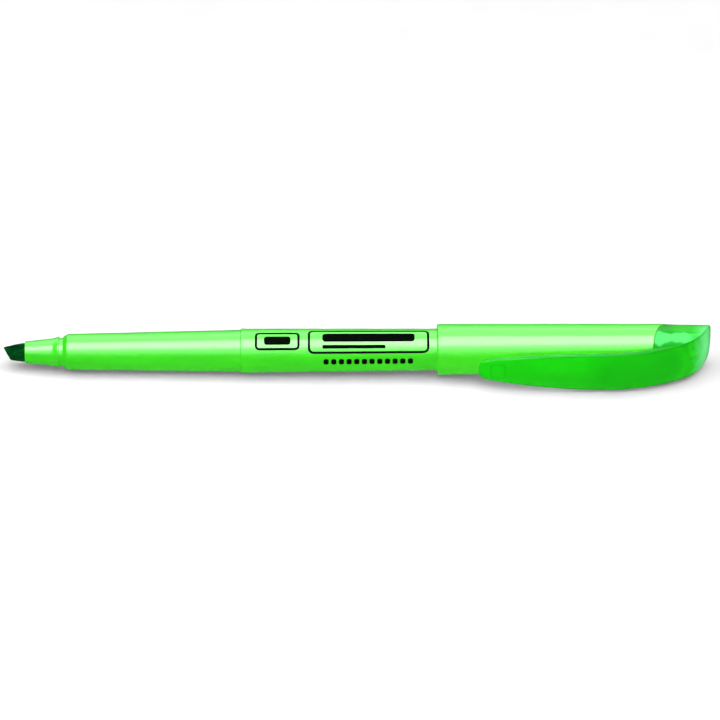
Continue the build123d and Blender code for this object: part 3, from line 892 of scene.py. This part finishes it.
def combine(obj, other, operation):
    """Adds another closed mesh to an object, or cuts it away, and removes the other."""
    modifier = obj.modifiers.new(operation, "BOOLEAN")
    modifier.operation = operation
    modifier.solver = "EXACT"
    modifier.object = other
    result = evaluated_mesh(obj)
    obj.modifiers.clear()
    obj.data = result
    bpy.data.objects.remove(other)


PAD_CORNER = 0.5
pad_bottom = CAP_RADIUS + PAD_GAP
pad_top = clip_curve((PAD_START + PAD_END) / 2)[0] - 0.6 * CLIP_THICKNESS  # inside the blade
clip_piece = clip_and_end()
combine(clip_piece, hollow_cutter(), "DIFFERENCE")
pad = rounded_block((PAD_START, PAD_END), (pad_bottom, pad_top), PAD_WIDTH / 2, PAD_CORNER)
combine(clip_piece, pad, "UNION")
combine(clip_piece, nub(), "UNION")
finish_mesh(clip_piece)

EDGE_SHADE = 0.45  # how far the painted shade on the clip's edges reaches
WALL_SHADE, WALL_MARGIN = 0.75, 0.1  # how much painted shade the side wall gets, and how near its face counts


def store_places(obj):
    """Stores each vertex's place at rest, and how much painted shade it gets as an edge or side wall of the
    clip.
    """
    places, edges = [], []
    for vertex in obj.data.vertices:
        offset = (vertex.co - ORIGIN) / MM
        rest = offset.dot(ALONG), offset.dot(CLIP_UP), offset.dot(ACROSS)
        places += rest
        station = min(max(rest[0], CLIP_TIP), PEN_LENGTH - 0.01)
        height, side = rest[1], abs(rest[2])
        face, half = clip_curve(station)[0] + dome(CLIP_HALF_WIDTH), leaf_half_width(station)
        gap = hypot(height - face, side - half)
        if station < CAP_SEAM:
            gap = min(gap, hypot(height - face + CLIP_THICKNESS, side - half))
        on_wall = half - side < WALL_MARGIN and face - plate_wall(station) < height < face
        edges.append(max(WALL_SHADE if on_wall else 0.0, 1 - gap / EDGE_SHADE))
    data = obj.data.attributes
    data.new(PLACE_ATTRIBUTE, "FLOAT_VECTOR", "POINT").data.foreach_set("vector", places)
    data.new(EDGE_ATTRIBUTE, "FLOAT", "POINT").data.foreach_set("value", edges)


BEND_LENGTH = 3.5  # of the blade's root, over which it bends
store_places(clip_piece)
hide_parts("cap_end_piece", "clip_blade")
bend_from = place([CAP_SEAM, CLIP_HEIGHT, 0])
bend_to = place([CAP_SEAM - BEND_LENGTH, CLIP_HEIGHT, 0])
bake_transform(clip_piece, "cap", "clip", start=bend_from, end=bend_to)


def spigot():
    """The end piece's sleeve inside the tube, cut off where it meets the end piece."""
    rear = CAP_SEAM + 2.0
    top, bottom = clip_curve(CAP_SEAM)[0] - CLIP_THICKNESS, -END_FRONT_RADIUS
    overlap = 0.1  # with the end piece

    def end_at_body(grid):
        share = (top - grid[..., 1]) / (top - bottom)
        meeting = CAP_SEAM + share * (seam_station(bottom) - CAP_SEAM) + overlap
        grid[..., 0] = np.where(grid[..., 0] > CAP_SEAM, meeting, grid[..., 0])
        return grid

    outline = [
        (SPIGOT_START, HOLLOW_RADIUS),
        (SPIGOT_START, CAP_BORE - PRESS_GAP, 0.2),
        (rear, CAP_BORE - PRESS_GAP),
        (rear, HOLLOW_RADIUS),
    ]
    return lathe("cap_end_spigot", outline, clip_plastic, reshape=end_at_body)


spigot_piece = spigot()
store_places(spigot_piece)
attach(spigot_piece, "cap")
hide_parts("cap_end_piece")

# -------------------- nib
NIB_POINT, NIB_END, NIB_POINT_RADIUS = 29.0, 31.0, 1.5  # its rear end, in the reservoir
NIB_LAND, NIB_FACET_END = 0.75, 5.6  # half the edge's thickness, and where the facets end
NIB_TIP_TOP, NIB_TIP_BOTTOM, NIB_HEEL = 1.05, -1.6, 1.5  # the edge slants back to its heel
NIB_TURN = radians(43)  # of the facets about the pen's axis
NIB_POINTS, NIB_CUT_WELD = 64, 1e-9
FELT_VOXEL, FELT_SOFTENING, FELT_PASSES = 0.13 * MM, 0.5, 4
FUZZ, FUZZ_SCALE, FUZZ_STRETCH = 0.045 * MM, 2.6, 0.5
NIB_UP = Vector((0, -cos(NIB_TURN), sin(NIB_TURN)))
NIB_SIDE = NIB_UP.cross(ALONG)


def nib():
    """The chisel nib: a felt rod with two facets and a slanted edge, softened and fuzzy."""
    rod = lathe(
        "nib_felt",
        [
            (0, AXIS_RADIUS),
            (0, NIB_RADIUS),
            (NIB_POINT, NIB_RADIUS),
            (NIB_END, NIB_POINT_RADIUS),
            (NIB_END, AXIS_RADIUS),
        ],
        nib_felt,
        steps=NIB_POINTS,
    )
    bm = bmesh.new()
    bm.from_mesh(rod.data)
    # each cut's line from one (station, offset) to another, its axis, and the side that goes
    cuts = [
        ((0, NIB_LAND), (NIB_FACET_END, NIB_RADIUS), NIB_UP, 1),
        ((0, -NIB_LAND), (NIB_FACET_END, -NIB_RADIUS), NIB_UP, -1),
        ((0, NIB_TIP_TOP), (NIB_FACET_END, NIB_RADIUS), NIB_SIDE, 1),
        ((NIB_HEEL, NIB_TIP_BOTTOM), (NIB_FACET_END, -NIB_RADIUS), NIB_SIDE, -1),
        ((0, NIB_TIP_TOP), (NIB_HEEL, NIB_TIP_BOTTOM), NIB_SIDE, -1),
    ]
    for (x1, y1), (x2, y2), axis, side in cuts:
        run = (ALONG * (x2 - x1) + axis * (y2 - y1)).normalized()
        outward = run.cross(axis.cross(ALONG))
        if outward.dot(axis) * side < 0:
            outward = -outward
        point = ORIGIN + (ALONG * x1 + axis * y1) * MM
        cut = bmesh.ops.bisect_plane(
            bm,
            geom=bm.verts[:] + bm.edges[:] + bm.faces[:],
            plane_co=point,
            plane_no=outward,
            clear_outer=True,
            dist=NIB_CUT_WELD,
        )
        edges = [e for e in cut["geom_cut"] if isinstance(e, bmesh.types.BMEdge)]
        bmesh.ops.contextual_create(bm, geom=edges)
    bm.to_mesh(rod.data)
    bm.free()
    remesh = rod.modifiers.new("felt", "REMESH")
    remesh.mode, remesh.voxel_size = "VOXEL", FELT_VOXEL
    smooth = rod.modifiers.new("soften", "SMOOTH")
    smooth.factor, smooth.iterations = FELT_SOFTENING, FELT_PASSES
    felted = evaluated_mesh(rod)
    rod.modifiers.clear()
    rod.data = felted
    normals = [v.normal.copy() for v in felted.vertices]
    for vertex, normal in zip(felted.vertices, normals):
        spot = (vertex.co - ORIGIN) / MM
        spot.x *= FUZZ_STRETCH
        vertex.co += normal * mathutils_noise.fractal(spot * FUZZ_SCALE, 1.0, 2.0, 4) * FUZZ
    felted.shade_smooth()
    return rod


nib_piece = nib()
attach(nib_piece, "barrel")
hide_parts("nib")

# -------------------- print on the barrel
PRINT_RISE, PRINT_DEPTH = 0.015, 0.03  # how far the ink stands out, and reaches into the barrel
PRINT_RADIUS = 4.75  # arcs on the barrel are measured at this radius
PRINT_LINE, PRINT_STEP = 0.5, 0.15  # a line's width, and the longest side of the ink's quads
PRINT_CENTRE, DASH_CENTRE = radians(67), radians(7)  # turned from the clip's side
BAR_CORNER, BAR_CORNER_POINTS = 0.3, 6  # a bar's rounding, as a share of its height


def barrel_radius(station):
    """The barrel's outside behind its collar."""
    start, end = COLLAR_RADIUS - BEAD_STEP, TAIL_RADIUS
    return start + (station - BEAD_END) / (BARREL_END - BEAD_END) * (end - start)


def printed(name, first, last, centre, closed=False):
    """Ink between two curves of (station, arc) points, as a thin closed skin on the barrel."""
    first, last = np.array(first), np.array(last)
    gap = np.abs(last - first)[:, 1].max()
    share = np.linspace(0, 1, max(2, ceil(gap / PRINT_STEP)))[:, None, None]
    flat = first * (1 - share) + last * share
    angle = centre + flat[..., 1] / PRINT_RADIUS
    shells = []
    for lift, order in ((PRINT_RISE, 1), (-PRINT_DEPTH, -1)):
        radius = barrel_radius(flat[..., 0]) + lift
        shell = np.stack([flat[..., 0], radius * np.cos(angle), radius * np.sin(angle)], axis=-1)
        shells.append(shell[::order])
    grid = np.concatenate(shells)
    rows, columns = grid.shape[:2]
    faces = grid_faces(rows, columns, close_rows=True, close_columns=closed)
    if not closed:
        faces.append([k * columns for k in range(rows)])
        faces.append([k * columns + columns - 1 for k in range(rows)][::-1])
    mark = make_object(name, place(grid).reshape(-1, 3), faces, print_ink)
    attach(mark, "barrel")
    return mark


def printed_frame(name, start, end, height, corner):
    """A rounded rectangle drawn with one line."""
    loops = []
    for inset in (0, PRINT_LINE):
        low, high = start + inset, end - inset
        half = height / 2 - inset
        corners = (low, -half), (high, -half), (high, half), (low, half)
        loops.append(np.array(rounded([(x, y, corner - inset) for x, y in corners])))
    # both loops get the same points, close enough together to follow the barrel's curve
    outer = loops[0]
    sides = np.linalg.norm(np.roll(outer, -1, axis=0) - outer, axis=1)
    fine = []
    for loop in loops:
        points = []
        for a, b, side in zip(loop, np.roll(loop, -1, axis=0), sides):
            steps = max(1, ceil(side / PRINT_STEP))
            points += [a + (b - a) * t for t in np.linspace(0, 1, steps, endpoint=False)]
        fine.append(points)
    return printed(name, *fine, PRINT_CENTRE, closed=True)


def printed_bar(name, start, end, height, arc=0.0, centre=PRINT_CENTRE):
    """A solid bar with rounded ends."""
    reach = BAR_CORNER * height
    bend = reach * (1 - np.cos(np.linspace(0, pi / 2, BAR_CORNER_POINTS)))
    station = np.concatenate([start + bend, end - bend[::-1]])
    from_end = np.minimum(np.minimum(station - start, end - station), reach)
    half = height / 2 - reach + np.sqrt(np.maximum(0, reach**2 - (reach - from_end) ** 2))
    lower = np.stack([station, arc - half], axis=-1)
    upper = np.stack([station, arc + half], axis=-1)
    return printed(name, lower, upper, centre)


printed_frame("print_patch_frame", start=55.4, end=65.2, height=4.4, corner=1.0)
printed_bar("print_patch", start=57.4, end=63.2, height=2.0)
printed_frame("print_panel_frame", start=67.0, end=93.6, height=6.1, corner=1.3)
printed_bar("print_panel_bar", start=70.2, end=90.4, height=2.2, arc=0.75)
printed_bar("print_panel_line", start=70.2, end=84.0, height=0.8, arc=-1.5)
DASHES, DASH_START, DASH_PITCH, DASH_LENGTH, DASH_HEIGHT = 12, 70.4, 1.68, 1.15, 1.4
for k in range(DASHES):
    start = DASH_START + k * DASH_PITCH
    printed_bar(f"print_dash_{k + 1}", start, start + DASH_LENGTH, DASH_HEIGHT, centre=DASH_CENTRE)

# -------------------- carried-over CAD nodes
node = frame["nodes"]


def paint(name, material):
    """Gives a CAD node a new material."""
    node[name].data.materials.clear()
    node[name].data.materials.append(material)


paint("barrel_end_plug", barrel_plastic)
paint("ink_reservoir", felt("reservoir_fibre", (0.02, 0.4, 0.02), (0.1, 0.8, 0.06)))
paint("reservoir_film", satin_plastic("reservoir_film", (0.75, 0.85, 0.75)))

# -------------------- table, light and camera
TABLE_REACH = 3.0  # metres to each side
TABLE_TILT = atan2(CAP_RADIUS - COLLAR_RADIUS, CAP_MOUTH - COLLAR)
CARD_DISTANCE = 0.6  # metres from the pen
CAMERA_ELEVATION, CAMERA_ROLL = radians(35.84), radians(-0.38)
LENS, SENSOR = 200.0, 36.0
FRAME_WIDTH, AIM_STATION, AIM_DROP = 158.4, 78.4, 2.2  # what the frame shows, and its centre


def table():
    """A pale table under the cap's mouth and the collar, which carry the pen."""
    material, tree, shader = new_material("pale_table")
    grain = noise(tree, 60, detail=5)
    base = ramp(tree, grain, (0.3, (0.90, 0.90, 0.90)), (0.7, (0.93, 0.93, 0.93)))
    tree.links.new(base, shader.inputs["Base Color"])
    shader.inputs["Roughness"].default_value = 0.9
    shader.inputs["Specular IOR Level"].default_value = 0.1
    signs = (-1, -1), (1, -1), (1, 1), (-1, 1)
    corners = [(x * TABLE_REACH, y * TABLE_REACH, 0) for x, y in signs]
    floor = make_object("table", corners, [[0, 1, 2, 3]], material)
    floor.rotation_euler = (0, TABLE_TILT, 0)
    floor.location = (STATION_ZERO + CAP_MOUTH * MM, 0, AXIS_Z - CAP_RADIUS * MM)
    floor.visible_glossy = False


def card(name, low, high, radiance, length=0.9, shift=0.0, glossy=True, diffuse=True):
    """A soft panel that faces the pen, between two elevations, counted from the camera's side."""
    middle, half = radians((low + high) / 2), radians((high - low) / 2)
    width = 2 * CARD_DISTANCE * tan(half)
    light = bpy.data.lights.new(name, "AREA")
    light.shape = "RECTANGLE"
    light.size, light.size_y = length, width
    light.energy = radiance * pi * length * width
    obj = bpy.data.objects.new(name, light)
    bpy.context.scene.collection.objects.link(obj)
    away = Vector((0, -cos(middle), sin(middle)))
    obj.location = Vector((shift, AXIS_Y, AXIS_Z)) + away * CARD_DISTANCE
    obj.rotation_mode = "QUATERNION"
    obj.rotation_quaternion = Matrix((ALONG, away.cross(ALONG), away)).transposed().to_quaternion()
    light.cycles.use_multiple_importance_sampling = glossy
    obj.visible_camera = False
    obj.visible_glossy = glossy
    obj.visible_diffuse = diffuse
    obj.visible_transmission = diffuse


def studio():
    """Soft overhead light, and reflections that draw a crisp band along the pen."""
    world = bpy.data.worlds.new("studio")
    world.use_nodes = True
    background = world.node_tree.nodes["Background"]
    background.inputs["Color"].default_value = (1, 1, 1, 1)
    background.inputs["Strength"].default_value = 0.2
    world.cycles.sampling_method = "NONE"
    bpy.context.scene.world = world
    card("key_light", 45, 110, 2.2, length=1.6, glossy=False, shift=-0.1)
    card("band_reflection", 52, 94.5, 14, diffuse=False)
    card("top_reflection", 95, 146, 4.4, diffuse=False)
    card("rear_reflection", 146, 168, 1.5, diffuse=False)
    card("upper_front_reflection", 37, 51.5, 6.0, diffuse=False)
    card("front_reflection", 20, 36.5, 3.0, diffuse=False)
    card("low_reflection", 5, 19.5, 0.7, diffuse=False)


def camera():
    """A long lens that looks at the pen's side from above the clip."""
    distance = FRAME_WIDTH / SENSOR * LENS * MM
    data = bpy.data.cameras.new("camera")
    data.lens, data.sensor_width = LENS, SENSOR
    data.clip_start, data.clip_end = 0.01, 20
    obj = bpy.data.objects.new("camera", data)
    bpy.context.scene.collection.objects.link(obj)
    back = Vector((0, -cos(CAMERA_ELEVATION), sin(CAMERA_ELEVATION)))
    up = Vector((0, sin(CAMERA_ELEVATION), cos(CAMERA_ELEVATION)))
    target = Vector((STATION_ZERO + AIM_STATION * MM, AXIS_Y, AXIS_Z)) - up * AIM_DROP * MM
    roll = Matrix.Rotation(CAMERA_ROLL, 3, back)
    right, top = roll @ ALONG, roll @ up
    obj.location = target + back * distance
    obj.rotation_mode = "QUATERNION"
    obj.rotation_quaternion = Matrix((right, top, back)).transposed().to_quaternion()
    bpy.context.scene.camera = obj


table()
studio()
camera()
for piece in bpy.data.objects:
    if piece.type == "MESH" and piece.name != "table":
        piece.visible_diffuse = False  # the plastic doesn't tint the table
bpy.context.scene.view_settings.view_transform = "Standard"
